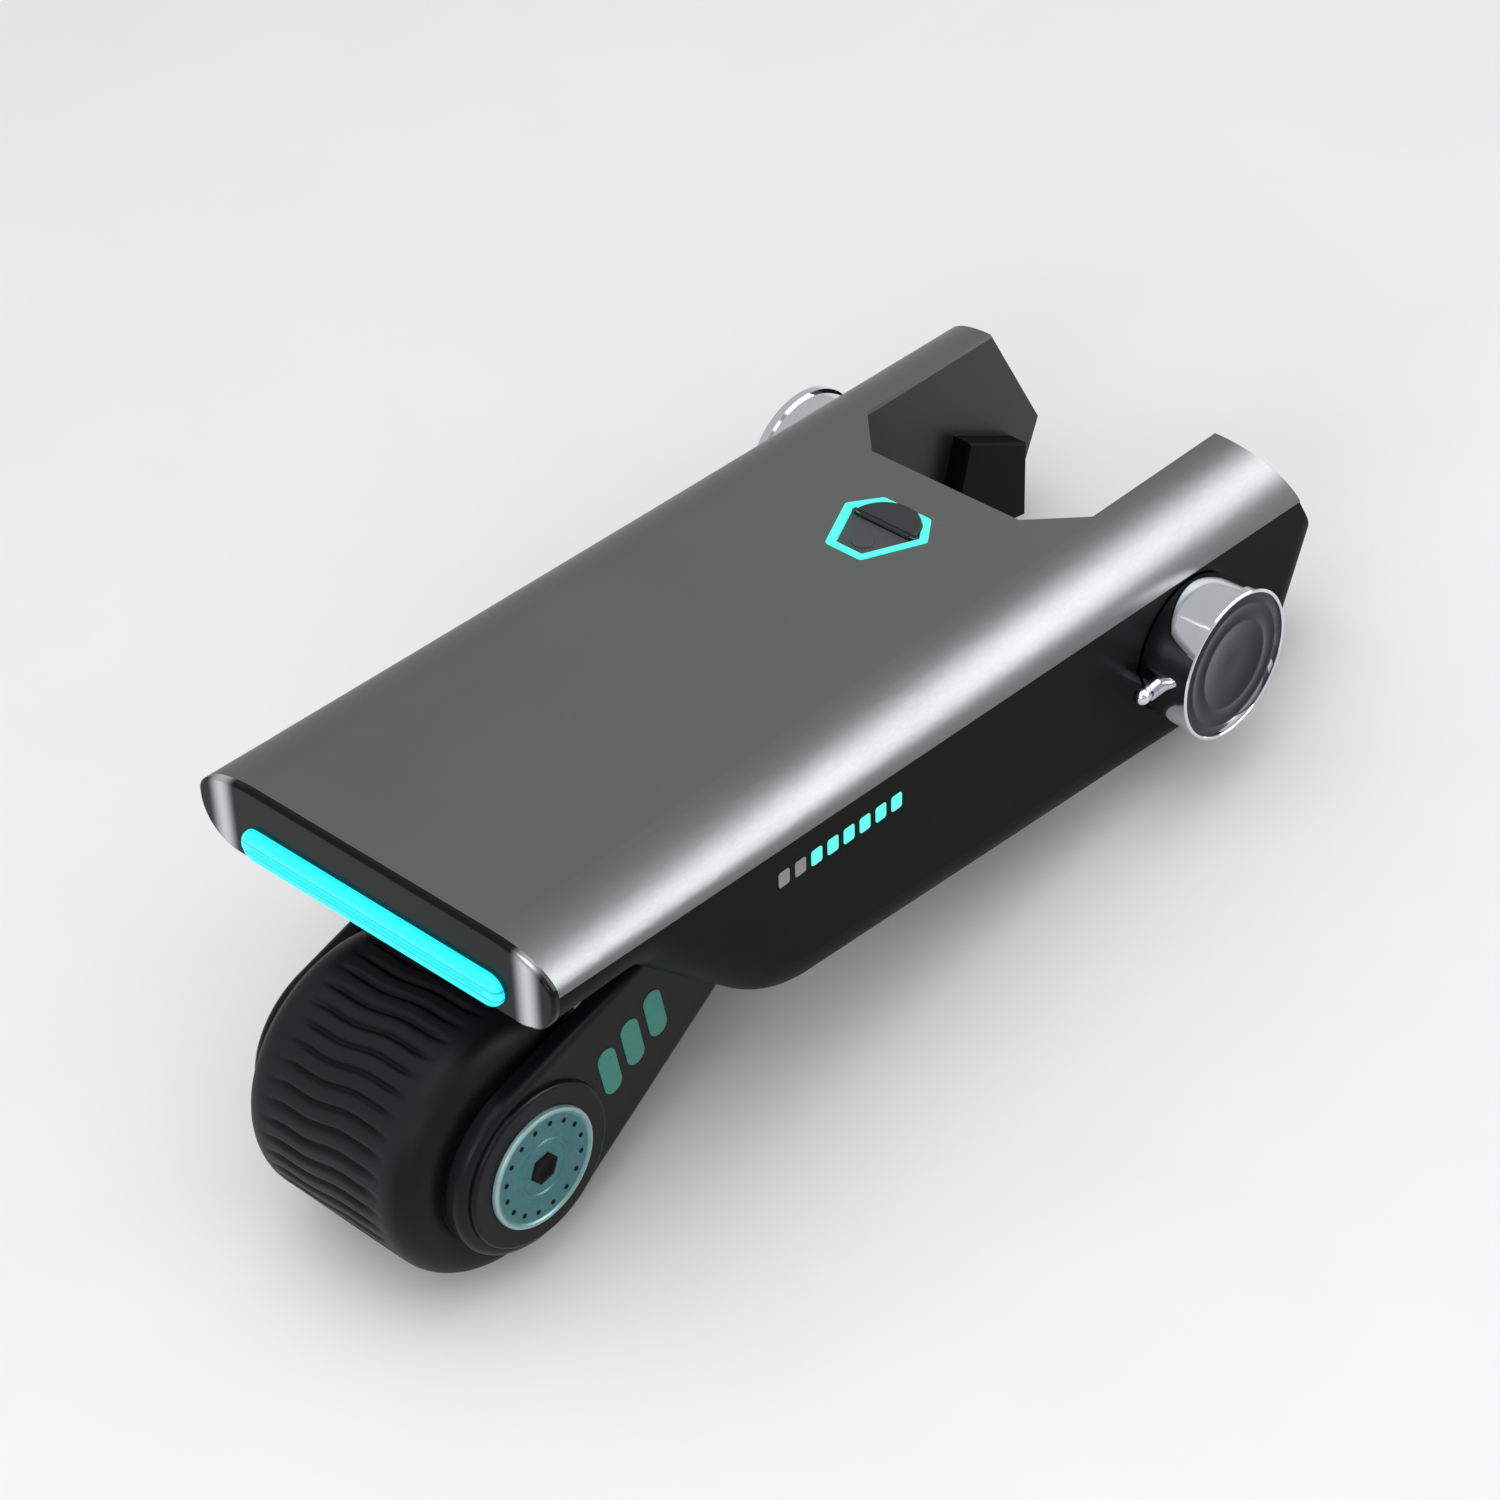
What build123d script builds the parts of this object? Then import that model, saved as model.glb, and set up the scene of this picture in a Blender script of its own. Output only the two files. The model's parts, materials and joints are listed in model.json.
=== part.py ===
"""Fork-tailed self-balancing board with one wide wheel on a sprung swing arm.

Everything is drawn in the deck's own frame: X across, Y from the front face to the tail, Z up,
with Z = 0 on the level top of the cover. The last step turns the whole board nose-up onto its
wheel and its tail skids, and puts the origin under the middle of its bounding box.
"""
import math
import os

from build123d import *

os.makedirs("parts", exist_ok=True)

# ---------------------------------------------------------------- driving dimensions, mm
# deck outline
deck_width = 240.0
tip_y = 541.0
nose_y = 584.0
nose_drop = 74.0
shoulder_width = 40.0
edge_drop_front = 17.0
edge_drop_rear = 36.0
shell_wall = 2.5
tub_wall = 3.5
tub_inset = 1.0

# lower body, side view
front_depth = 44.0
well_start_y = 62.0
keel_start_y = 150.0
keel_start_depth = 122.0
keel_end_y = 500.0
keel_end_depth = 147.0
heel_y = 556.0
heel_depth = 138.0
keel_round = 24.0
heel_round = 34.0

# wheel well and inner walls
well_half_width = 82.0
cheek_inner_wall = 4.0
bulkhead_y = 212.0
bay_end_y = 398.0
rib = 4.0

# fork notch
notch_y = 411.0
notch_half_width = 77.0
notch_chamfer = 27.0
liner_wall = 3.0

# front cap and light bar
cap_rim = 4.0
cap_tenon = 6.0
cap_edge = 2.0
bar_half_length = 88.0
bar_height = 18.0
bar_drop = 31.0
bar_proud = 5.0
bar_groove = 1.2
flange_step = 3.0
board_thickness = 1.6

# shield light, switch panel and port cover
shield_y = 358.0
shield_front = (12.0, -27.0)
shield_waist = (28.0, 7.0)
shield_rear = (16.0, 24.0)
shield_corner = 3.0
ring_width = 4.5
ring_proud = 0.4
panel_recess = 2.0
panel_depth = 6.0
panel_border = 6.0
cover_y = 363.0
cover_radius = 19.5
cover_gap = 0.8
cover_crown = 1.2
cover_floor = 1.5
hinge_drop = 1.2
hinge_pin_radius = 0.8
hinge_barrel_radius = 1.5
ear_width = 1.5
inlet_radius = 7.5
button_y = 347.0
button_radius = 6.0
button_flange = 1.5
button_proud = 0.8
button_travel = 1.5
switch_size = 6.0

# battery gauge in each side wall
gauge_count = 8
gauge_unlit = 2
gauge_start_y = 154.0
gauge_pitch = 11.6
gauge_bar = (7.6, 9.0)
gauge_below_edge = 19.0
gauge_proud = 0.3

# wheel and swing arm
axle_y = 24.0
axle_drop = 161.0
pivot_y = 182.0
pivot_drop = 85.0
tyre_radius = 73.0
tyre_half_width = 60.0
tyre_shoulder = 18.0
tyre_bore = 50.0
rim_wall = 4.0
axle_radius = 8.0
arm_inner = 64.0
arm_thickness = 10.0
arm_hub_radius = 51.0
arm_heel_radius = 24.0
arm_edge = 5.0
boss_radius = 45.0
boss_height = 3.0
cap_disc_radius = 33.0
cap_disc_height = 2.5
nut_radius = 12.0
nut_height = 8.0
pivot_tube_radius = 17.0
pivot_tube_wall = 4.0
shaft_radius = 8.0
badge_count = 3
badge_size = (30.0, 12.0)
badge_height = 0.4
badge_step = 1.5
badge_lean = 75.0
arm_travel = 8.0
stop_y = 134.0
stop_length = 16.0
stop_gap = 0.5

# motor inside the wheel
rotor_half_width = 52.0
cover_plate = 4.0
bearing_outer = 16.0
bearing_width = 7.0
stator_half_width = 30.0
stator_core = 30.0
tooth_count = 18
tooth_width = 5.0
tooth_radius = 38.0
magnet_count = 24
magnet_thickness = 3.4
magnet_width = 8.5
winding_height = 9.0

# side lamps
lamp_y = 465.0
lamp_drop = 74.0
lamp_overhang = 12.0
lamp_radius = 41.0
lamp_length = 17.0
lamp_wall = 2.5
lamp_socket_gap = 1.0
lamp_socket_wall = 3.5
bezel_radius = 42.5
bezel_length = 5.0
glass_thickness = 2.0
ear_radius = 5.0
ear_length = 3.6
bracket_gap = 0.7
bracket_thickness = 5.0
lamp_pin_radius = 3.0
lamp_tip_radius = 2.5
lamp_head_radius = 4.6

# dock blocks on the fork's inner walls
dock_height = 12.0
dock_top = 51.0
dock_start_y = 498.0
dock_end_y = 560.0
dock_slope = 26.0
dock_bottom = 124.0
dock_chamfer = 1.5

# tail skids
skid_y = 523.0
skid_length = 50.0
skid_width = 24.0
skid_x = 93.0
skid_depth = 7.0

# electrics and fasteners
cell_radius = 9.2
cell_length = 65.0
cell_pitch = 21.0
cell_rows = 6
cell_columns = 5
cell_floor_drop = 112.0
battery_y = 307.0
holder_height = 12.0
controller_half = 48.0
controller_span = (32.0, 150.0)
controller_height = 8.0
capacitor_height = 14.0
capacitor_count = 3
fin_count = 6
balance_half = 18.0
balance_start_y = 160.0
screw_radius = 2.0
screw_length = 25.0
screw_head = (4.0, 2.5)
screw_clearance = 0.25
post_radius = 6.5
screw_sites = ((88.0, 34.0), (60.0, 176.0), (98.0, 236.0), (60.0, 391.0))
running_fit = 0.05
eps = 0.01
reach = 400.0

# ---------------------------------------------------------------- derived places
half = deck_width / 2
tub_half = half - tub_inset
tail_slope = (nose_y - tip_y) / nose_drop
axle = (axle_y, -axle_drop)
pivot = (pivot_y, -pivot_drop)
split_z = tub_wall - front_depth
screw_seat_z = split_z
screw_top_z = screw_seat_z + screw_length
lamp_x = half + lamp_overhang
lamp_centre = (lamp_x, lamp_y, -lamp_drop)
window_half = bar_half_length + flange_step
flange_half = (bar_height + flange_step) / 2
cover_axis = (cover_y + hinge_barrel_radius, -hinge_drop)
button_floor = -panel_depth - button_flange


def edge_z(y):
    """Height of the cover's lower edge at a station along the deck."""
    return -edge_drop_front - (edge_drop_rear - edge_drop_front) * y / nose_y


def keel_z(y):
    """Height of the straight keel line at a station along the deck."""
    run = (y - keel_start_y) / (keel_end_y - keel_start_y)
    return -keel_start_depth - (keel_end_depth - keel_start_depth) * run


def tail_y(z):
    """Station of the slanted tail face at a height above the nose."""
    return tip_y - tail_slope * z


def box(x, y, z):
    """Block given by its three (low, high) ranges."""
    low, high = zip(x, y, z)
    size = [b - a for a, b in zip(low, high)]
    return Pos(*low) * Box(*size, align=(Align.MIN,) * 3)


def upright(x, y, z, radius):
    """Cylinder along Z from height z[0] to z[1]."""
    align = (Align.CENTER, Align.CENTER, Align.MIN)
    return Pos(x, y, z[0]) * Cylinder(radius, z[1] - z[0], align=align)


def rod(x, centre, radius):
    """Cylinder along X between two x values, about a (y, z) centre."""
    align = (Align.CENTER, Align.CENTER, Align.MIN)
    place = Pos(x[0], centre[0], centre[1]) * Rot(Y=90)
    return place * Cylinder(radius, x[1] - x[0], align=align)


def pair(piece):
    """The piece and its mirror image across the middle of the deck."""
    return [piece, mirror(piece, about=Plane.YZ)]


def lamp_balls(radius):
    """Balls about the tilt centres of both lamps."""
    return pair(Pos(*lamp_centre) * Sphere(radius))


# ---------------------------------------------------------------- main forms
def crown_section(y, inset):
    """Section of the crowned cover: level top with elliptical shoulders."""
    plane = Plane(origin=(0, y, 0), x_dir=(1, 0, 0), z_dir=(0, -1, 0))
    low = edge_z(y)
    side = half - inset
    flat = half - shoulder_width
    radii = (shoulder_width - inset, -inset - low)
    with BuildSketch(plane) as section:
        with BuildLine():
            EllipticalCenterArc((flat, low), *radii, start_angle=0, arc_size=90)
            Line((flat, -inset), (-flat, -inset))
            EllipticalCenterArc((-flat, low), *radii, start_angle=90, arc_size=90)
            Line((-side, low), (side, low))
        make_face()
    return section.sketch


def crown(start, end, inset=0.0):
    """Crowned cover form between two stations."""
    return loft([crown_section(start, inset), crown_section(end, inset)], ruled=True)


def below_tail(shift=0.0):
    """Everything ahead of the slanted tail face, moved forward by shift."""
    run = reach * tail_slope
    with BuildSketch(Plane.YZ) as sketch:
        with BuildLine():
            Polyline(
                (-reach, -reach),
                (tip_y + run - shift, -reach),
                (tip_y - run - shift, reach),
                (-reach, reach),
                close=True,
            )
        make_face()
    return extrude(sketch.sketch, amount=reach, both=True)


def side_profile(inset=0.0, top=0.0):
    """Side view of the whole body up to a level, with its keel drawn by the rounded corners."""
    corners = (
        (cap_rim, top),
        (cap_rim, -front_depth),
        (well_start_y, -front_depth),
        (keel_start_y, -keel_start_depth),
        (keel_end_y, -keel_end_depth),
        (heel_y, -heel_depth),
        (nose_y, -nose_drop),
        (tail_y(top), top),
    )
    rounds = ((2, keel_round), (3, 3 * keel_round), (4, 2 * keel_round), (5, heel_round))
    with BuildSketch(Plane.YZ) as sketch:
        with BuildLine():
            Polyline(*corners, close=True)
        make_face()
        for index, radius in rounds:
            corner = sketch.vertices().sort_by_distance((*corners[index], 0))[0]
            fillet(corner, radius)
        if inset:
            offset(amount=-inset, kind=Kind.INTERSECTION)
    return sketch.sketch


def keel_form(inset=0.0):
    """Closed form of the body with its keel edges rounded."""
    body = extrude(side_profile(inset), amount=tub_half - inset, both=True)
    chain = []
    for face in (body.faces().sort_by(Axis.X)[0], body.faces().sort_by(Axis.X)[-1]):
        for edge in face.edges():
            mid = edge.center()
            is_front = mid.Y < cap_rim + inset + eps
            is_tail = mid.Y > heel_y and mid.Z > -nose_drop + inset
            if not (is_front or is_tail or mid.Z > -front_depth + inset + eps):
                chain.append(edge)
    return fillet(chain, keel_round - inset)


def under_edge():
    """Everything below the cover's lower edge."""
    with BuildSketch(Plane.YZ) as sketch:
        with BuildLine():
            Polyline(
                (-reach, edge_z(-reach)),
                (2 * reach, edge_z(2 * reach)),
                (2 * reach, -2 * reach),
                (-reach, -2 * reach),
                close=True,
            )
        make_face()
    return extrude(sketch.sketch, amount=reach, both=True)


def notch_sketch(grow=0.0):
    """Plan view of the fork's notch, grown into the body by a wall."""
    inner = notch_half_width - notch_chamfer
    with BuildSketch() as sketch:
        with BuildLine():
            Polyline(
                (-notch_half_width, reach + nose_y),
                (-notch_half_width, notch_y + notch_chamfer),
                (-inner, notch_y),
                (inner, notch_y),
                (notch_half_width, notch_y + notch_chamfer),
                (notch_half_width, reach + nose_y),
                close=True,
            )
        make_face()
        if grow:
            offset(amount=grow, kind=Kind.INTERSECTION)
    return sketch.sketch


def notch_cut(grow=0.0):
    """The fork's notch as a through cut."""
    return extrude(notch_sketch(grow), amount=reach, both=True)


def shield_sketch(inset=0.0):
    """Shield outline of the light ring, in plan."""
    right = [shield_front, shield_waist, shield_rear]
    left = [(-x, y) for x, y in reversed(right)]
    with BuildSketch(Plane.XY.move(Location((0, shield_y, 0)))) as sketch:
        with BuildLine():
            Polyline(*right, *left, close=True)
        make_face()
        fillet(sketch.vertices(), shield_corner)
        if inset:
            offset(amount=-inset)
    return sketch.sketch


def half_disc(radius, start):
    """Half-round plan shape behind the port cover's hinge line."""
    disc = Pos(0, cover_y) * Circle(radius)
    return disc & (Pos(0, start + reach / 2) * Rectangle(reach, reach))


def slab(sketch, low, high):
    """Plan sketch made solid between two heights."""
    return Pos(0, 0, low) * extrude(sketch, amount=high - low, dir=(0, 0, 1))


# ---------------------------------------------------------------- deck: cover and body
def screw_places():
    """The x, y of each screw that holds the cover to the lower body."""
    return [(side * x, y) for x, y in screw_sites for side in (1, -1)]


def top_shell():
    """Crowned aluminium cover with the notch, the shield opening and its screw posts."""
    shell = crown(cap_rim, nose_y) - crown(cap_rim - rib, nose_y + rib, shell_wall)
    for x, y in screw_places():
        post = upright(x, y, (screw_top_z - screw_length / 2, 0), post_radius)
        shell += post & crown(cap_rim, nose_y, shell_wall / 2)
        shell -= upright(x, y, (-reach, screw_top_z), screw_radius)
    shell = (shell & below_tail()) - notch_cut()
    opening = shield_sketch() + half_disc(cover_radius + cover_gap, cover_y)
    return shell - slab(opening, -2 * shell_wall, shell_wall)


def lower_tub():
    """Moulded lower body: tray, wheel well cheeks, battery bay and fork arms."""
    inner = keel_form(tub_wall)
    cheek = (well_half_width + cheek_inner_wall, reach)
    sockets = lamp_balls(lamp_radius + lamp_socket_gap + lamp_socket_wall)
    fork_bay = box((-reach, reach), (bay_end_y + rib, reach * 2), (-reach, 0))
    for socket in sockets:
        fork_bay -= socket
    posts = [
        upright(x, y, (-reach, screw_top_z - screw_length / 2), post_radius)
        for x, y in screw_places()
    ]
    bay = box((-reach, reach), (bulkhead_y + rib, bay_end_y), (-reach, 0))
    hollows = [
        inner & box((-reach, reach), (0, bulkhead_y + rib), (split_z, 0)),
        inner & bay,
        inner & fork_bay,
    ]
    hollows += pair(inner & box(cheek, (well_start_y, bulkhead_y), (-reach, 0)))
    tub = keel_form() & under_edge()
    for hollow in hollows:
        for post in posts:
            hollow -= post
        tub -= hollow
    tub -= box((-well_half_width, well_half_width), (-reach, bulkhead_y), (-reach, -front_depth))
    tub -= notch_cut(liner_wall)
    window = (-window_half, window_half)
    tub -= box(window, (0, cap_rim + 2 * board_thickness), (-bar_drop - flange_half, 0))
    for board in gauge_boards():
        tub -= board
    for socket in lamp_balls(lamp_radius + lamp_socket_gap):
        tub -= socket
    for x, y in screw_places():
        tub -= upright(x, y, (-reach, screw_seat_z), screw_head[0] + screw_clearance)
        tub -= upright(x, y, (-reach, 0), screw_radius + screw_clearance)
    tub -= rod((-well_half_width - rib, well_half_width + rib), pivot, shaft_radius)
    for bars in (gauge_bars(range(gauge_count), 2 * tub_wall)):
        tub -= bars
    return tub


def notch_liner():
    """Wall that lines the fork's notch from the cover down to the keel."""
    wall = notch_cut(liner_wall) - notch_cut()
    return wall & extrude(side_profile(top=-shell_wall), amount=half, both=True)


def tail_caps():
    """Plates that close the ends of the cover at the fork's two tips."""
    plate = crown(notch_y, nose_y + rib, shell_wall) & below_tail()
    plate = (plate - below_tail(tub_wall)) - notch_cut(liner_wall)
    return plate.solids()


def stadium(half_length, height, start, end):
    """Bar with round ends across the front, between two stations."""
    plane = Plane(origin=(0, start, -bar_drop), x_dir=(1, 0, 0), z_dir=(0, 1, 0))
    with BuildSketch(plane) as sketch:
        SlotOverall(2 * half_length, height)
    return extrude(sketch.sketch, amount=end - start)


def front_cap():
    """Gloss end cap whose rim covers the front of the cover and tray."""
    plane = Plane(origin=(0, 0, 0), x_dir=(1, 0, 0), z_dir=(0, -1, 0))
    with BuildSketch(plane) as lower:
        with Locations((0, (edge_z(0) - front_depth) / 2)):
            Rectangle(deck_width, front_depth + edge_z(0))
        low = lower.vertices().group_by(Axis.Y)[0]
        fillet(low, keel_round)
    rim = extrude(lower.sketch + crown_section(0, 0.0), amount=-cap_rim)
    rim = fillet(rim.faces().sort_by(Axis.Y)[0].outer_wire().edges(), cap_edge)
    tenon = crown(cap_rim, cap_rim + cap_tenon, shell_wall)
    tenon -= box((-window_half, window_half), (0, reach), (-reach, -bar_drop + bar_height))
    return rim + tenon - stadium(bar_half_length, bar_height, -rib, cap_rim)


def light_bar_lens():
    """Clear cyan lens across the front, with a groove along its middle."""
    lens = stadium(bar_half_length, bar_height, -bar_proud, cap_rim)
    lens = fillet(lens.faces().sort_by(Axis.Y)[0].edges(), bar_proud - bar_groove)
    groove = stadium(bar_half_length - bar_height / 2, 2 * bar_groove, -rib - bar_proud, 0)
    lens -= Pos(0, bar_groove - bar_proud, 0) * groove
    flange = stadium(window_half, 2 * flange_half, cap_rim, cap_rim + board_thickness)
    return lens + flange


def light_bar_board():
    """Strip of light sources behind the front lens."""
    start = cap_rim + board_thickness
    return stadium(bar_half_length, bar_height, start, start + board_thickness)


# ---------------------------------------------------------------- deck: shield switch group
def shield_ring_lens():
    """Glowing shield ring, broken where the port cover crosses it."""
    ring = shield_sketch() - shield_sketch(ring_width)
    ring -= Pos(0, cover_y) * Circle(cover_radius + cover_gap) & half_disc(reach / 4, cover_y)
    return slab(ring, -shell_wall, ring_proud)


def switch_panel():
    """Recessed panel under the ring, with the button's bore and the port's pocket."""
    border = shield_sketch(-panel_border) + half_disc(cover_radius + panel_border, cover_y)
    panel = slab(border, -panel_depth, -shell_wall)
    panel += slab(shield_sketch(ring_width), -shell_wall, -panel_recess)
    panel -= slab(half_disc(cover_radius + cover_gap, cover_y), -cover_floor - cover_gap, 0)
    for ear in pair(box((cover_radius + cover_gap, cover_radius + cover_gap + ear_width),
                        (cover_y, cover_y + 2 * hinge_barrel_radius), (-panel_depth, 0))):
        panel += ear
    panel -= rod((-cover_radius, cover_radius), cover_axis, hinge_barrel_radius + cover_gap)
    panel -= cover_pin()
    inlet_y = cover_y + cover_radius / 2
    panel -= upright(0, inlet_y, (-reach, 0), inlet_radius)
    panel -= upright(0, button_y, (-reach, 0), button_radius + running_fit)
    bottom = -panel_depth - panel_depth
    for x in (-shield_rear[0], shield_rear[0]):
        for y in (button_y - button_radius, cover_y):
            panel += upright(x, y, (bottom, -panel_depth), screw_radius)
    return panel


def shield_board():
    """Circuit board under the switch panel, with the button's switch on it."""
    top = -2 * panel_depth
    board = box((-shield_waist[0], shield_waist[0]), (shield_y + shield_front[1], cover_y + rib),
                (top - board_thickness, top))
    switch = upright(0, button_y, (top, button_floor - button_travel - running_fit), screw_radius)
    base = box((-switch_size / 2, switch_size / 2),
               (button_y - switch_size / 2, button_y + switch_size / 2),
               (top, top + button_travel))
    return board + base + switch


def power_button():
    """Round push button with a retaining flange under the panel."""
    cap = upright(0, button_y, (-panel_depth, button_proud - panel_recess), button_radius)
    cap = fillet(cap.faces().sort_by(Axis.Z)[-1].edges(), button_proud / 2)
    low = button_floor
    return cap + upright(0, button_y, (low, low + button_flange), button_radius + button_flange)


def charge_inlet():
    """Round charging inlet under the port cover."""
    inlet_y = cover_y + cover_radius / 2
    low = -2 * panel_depth
    body = upright(0, inlet_y, (low, -panel_depth / 2), inlet_radius)
    body -= upright(0, inlet_y, (low + shell_wall, 0), inlet_radius - shell_wall)
    return body + upright(0, inlet_y, (low, -panel_depth + board_thickness), screw_radius / 2)


def port_cover():
    """Half-round cover that flips up about its straight edge."""
    axis_y, axis_z = cover_axis
    plate = slab(half_disc(cover_radius, axis_y), -cover_floor, cover_crown)
    plate = fillet(plate.faces().sort_by(Axis.Z)[-1].edges().filter_by(GeomType.CIRCLE),
                   cover_crown / 2)
    width = cover_radius - 2 * hinge_barrel_radius
    plate += rod((-width, width), (axis_y, axis_z), hinge_barrel_radius)
    return plate - rod((-reach, reach), (axis_y, axis_z), hinge_pin_radius + running_fit)


def cover_pin():
    """Hinge pin of the port cover, held in the panel's ears."""
    end = cover_radius + cover_gap + ear_width
    return rod((-end, end), cover_axis, hinge_pin_radius)


# ---------------------------------------------------------------- deck: gauge, fork, tail
def gauge_bars(indices, depth):
    """Battery gauge bars let into both side walls."""
    bars = []
    for index in indices:
        y = gauge_start_y + index * gauge_pitch
        z = edge_z(y) - gauge_below_edge
        bar = box((tub_half - depth, tub_half + gauge_proud),
                  (y - gauge_bar[0] / 2, y + gauge_bar[0] / 2),
                  (z - gauge_bar[1] / 2, z + gauge_bar[1] / 2))
        bar = fillet(bar.edges().filter_by(Axis.X), gauge_bar[0] / 5)
        bars += pair(bar)
    return bars


def gauge_boards():
    """Light strips behind the battery gauge on each side."""
    end_y = gauge_start_y + (gauge_count - 1) * gauge_pitch
    high = edge_z(end_y) - gauge_below_edge + gauge_bar[1]
    inner = tub_half - tub_wall
    board = box((inner - board_thickness, inner), (gauge_start_y - rib, end_y + rib),
                (high - 2 * gauge_bar[1], high))
    return pair(board)


def dock_blocks():
    """Wedge-topped dock sockets on the fork's inner walls."""
    fall = math.tan(math.radians(dock_slope)) * (dock_end_y - dock_start_y - dock_height)
    lean = dock_height
    with BuildSketch(Plane.YZ.offset(notch_half_width - dock_height)) as sketch:
        with BuildLine():
            Polyline(
                (dock_start_y + lean, -dock_top),
                (dock_end_y, -dock_top - fall),
                (dock_end_y, -dock_bottom),
                (dock_start_y - lean / 2, -dock_bottom + lean),
                close=True,
            )
        make_face()
    block = extrude(sketch.sketch, amount=dock_height)
    return pair(chamfer(block.faces().sort_by(Axis.X)[0].edges(), dock_chamfer))


def rest_line():
    """Tilt of the floor under the wheel and skids, and its height on the deck's Z axis."""
    low = keel_z(min(skid_y, keel_end_y)) - skid_depth
    dy = skid_y - axle_y
    dz = low + axle_drop
    tilt = math.atan2(dz, dy) + math.asin(tyre_radius / math.hypot(dy, dz))
    return math.degrees(tilt), low - skid_y * math.tan(tilt)


rest_tilt, floor_at_zero = rest_line()


def tail_skids(tub):
    """Rubber skids under the fork that the tail rests on."""
    slope = math.tan(math.radians(rest_tilt))
    ends = (skid_y - skid_length / 2, skid_y + skid_length / 2)
    with BuildSketch(Plane.YZ.offset(skid_x - skid_width / 2)) as sketch:
        with BuildLine():
            Polyline(
                (ends[0], floor_at_zero + slope * ends[0]),
                (ends[1], floor_at_zero + slope * ends[1]),
                (ends[1], -heel_depth + skid_depth),
                (ends[0], -heel_depth + skid_depth),
                close=True,
            )
        make_face()
    skid = extrude(sketch.sketch, amount=skid_width)
    skid = fillet(skid.edges().filter_by(Axis.Z, tolerance=20), skid_depth)
    pads = []
    for pad in pair(skid):
        pads.append((pad - tub).solids().sort_by(Axis.Z)[0])
    return pads


# ---------------------------------------------------------------- deck: electrics, fasteners
def cell_places():
    """The x, y of each cell in the battery."""
    places = []
    for column in range(cell_columns):
        for row in range(cell_rows):
            x = (column - (cell_columns - 1) / 2) * cell_pitch
            places.append((x, battery_y + (row - (cell_rows - 1) / 2) * cell_pitch))
    return places


def battery_cells():
    """Upright round cells."""
    span = (-cell_floor_drop, cell_length - cell_floor_drop)
    return [upright(x, y, span, cell_radius) for x, y in cell_places()]


def battery_holder():
    """Moulded holder that seats the cells on the floor of the bay."""
    half_x = cell_pitch * cell_columns / 2 + rib
    half_y = cell_pitch * cell_rows / 2 + rib
    top = holder_height - cell_floor_drop
    holder = keel_form(tub_wall) & box((-half_x, half_x), (battery_y - half_y, battery_y + half_y),
                                      (-reach, top))
    for x, y in cell_places():
        holder -= upright(x, y, (-cell_floor_drop, top), cell_radius)
    return holder


def battery_board():
    """Cell management board lying on the cells."""
    low = cell_length - cell_floor_drop
    half_x = cell_pitch * cell_columns / 2
    half_y = cell_pitch * cell_rows / 2
    return box((-half_x, half_x), (battery_y - half_y, battery_y + half_y),
               (low, low + board_thickness))


def controller_base():
    """Finned plate that carries the motor controller on the tray floor."""
    base = box((-controller_half, controller_half), controller_span,
               (split_z, split_z + controller_height))
    count = fin_count
    pitch = 2 * controller_half / count
    for index in range(count):
        x = -controller_half + (index + 1 / 2) * pitch
        base -= box((x - pitch / 4, x + pitch / 4), (0, reach), (split_z, split_z + rib))
    return base


def controller_board():
    """Motor controller's circuit board."""
    low = split_z + controller_height
    return box((-controller_half, controller_half), controller_span, (low, low + board_thickness))


def capacitors():
    """Can capacitors standing on the controller board."""
    low = split_z + controller_height + board_thickness
    step = 2 * cell_radius
    return [
        upright((index - 1) * step, controller_span[0] + step, (low, low + capacitor_height),
                cell_radius - running_fit)
        for index in range(capacitor_count)
    ]


def balance_board():
    """Board with the tilt sensor, on the tray floor behind the controller."""
    return box((-balance_half, balance_half), (balance_start_y, balance_start_y + 2 * balance_half),
               (split_z, split_z + board_thickness))


def battery_lead():
    """Lead from the battery's board to the motor controller."""
    start_z = cell_length - cell_floor_drop + board_thickness
    end_z = split_z + controller_height + board_thickness
    top_z = end_z + 3 * rib
    bend = 2 * rib
    points = (
        (0, battery_y - cell_pitch, start_z),
        (0, battery_y - cell_pitch, top_z),
        (0, controller_span[1] - bend, top_z),
        (0, controller_span[1] - bend, end_z),
    )
    path = FilletPolyline(*points, radius=bend)
    with BuildSketch(Plane(origin=points[0], z_dir=(0, 0, 1))) as section:
        Circle(rib / 2)
    return sweep(section.sketch, path=path)


def body_screws():
    """Screws that pull the cover down onto the lower body."""
    screws = []
    for x, y in screw_places():
        head_z = (screw_seat_z - screw_head[1], screw_seat_z)
        screw = upright(x, y, (screw_seat_z, screw_top_z), screw_radius)
        screws.append(screw + upright(x, y, head_z, screw_head[0]))
    return screws


def pivot_shaft():
    """Fixed shaft across the wheel well that the swing arm turns on."""
    end = well_half_width + cheek_inner_wall + nut_height
    return rod((-end, end), pivot, shaft_radius)


def pivot_nuts():
    """Nuts on the shaft's ends, inside the cheeks."""
    start = well_half_width + cheek_inner_wall
    nut = rod((start, start + nut_height), pivot, nut_radius)
    return pair(nut - rod((0, reach), pivot, shaft_radius))


def bump_stops():
    """Rubber blocks that the arms' top edges meet at the end of their travel."""
    dy = pivot_y - axle_y
    dz = axle_drop - pivot_drop
    taper = math.asin((arm_hub_radius - arm_heel_radius) / math.hypot(dy, dz))
    slope = math.atan2(dz, dy) - taper - math.radians(arm_travel)
    run = pivot_y - stop_y - stop_length / 2
    low = -pivot_drop + arm_heel_radius / math.cos(slope) - run * math.tan(slope) + stop_gap
    block = box((arm_inner, arm_inner + arm_thickness),
                (stop_y - stop_length / 2, stop_y + stop_length / 2), (low, -front_depth))
    return pair(fillet(block.edges().filter_by(Axis.Z), rib / 2))


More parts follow.
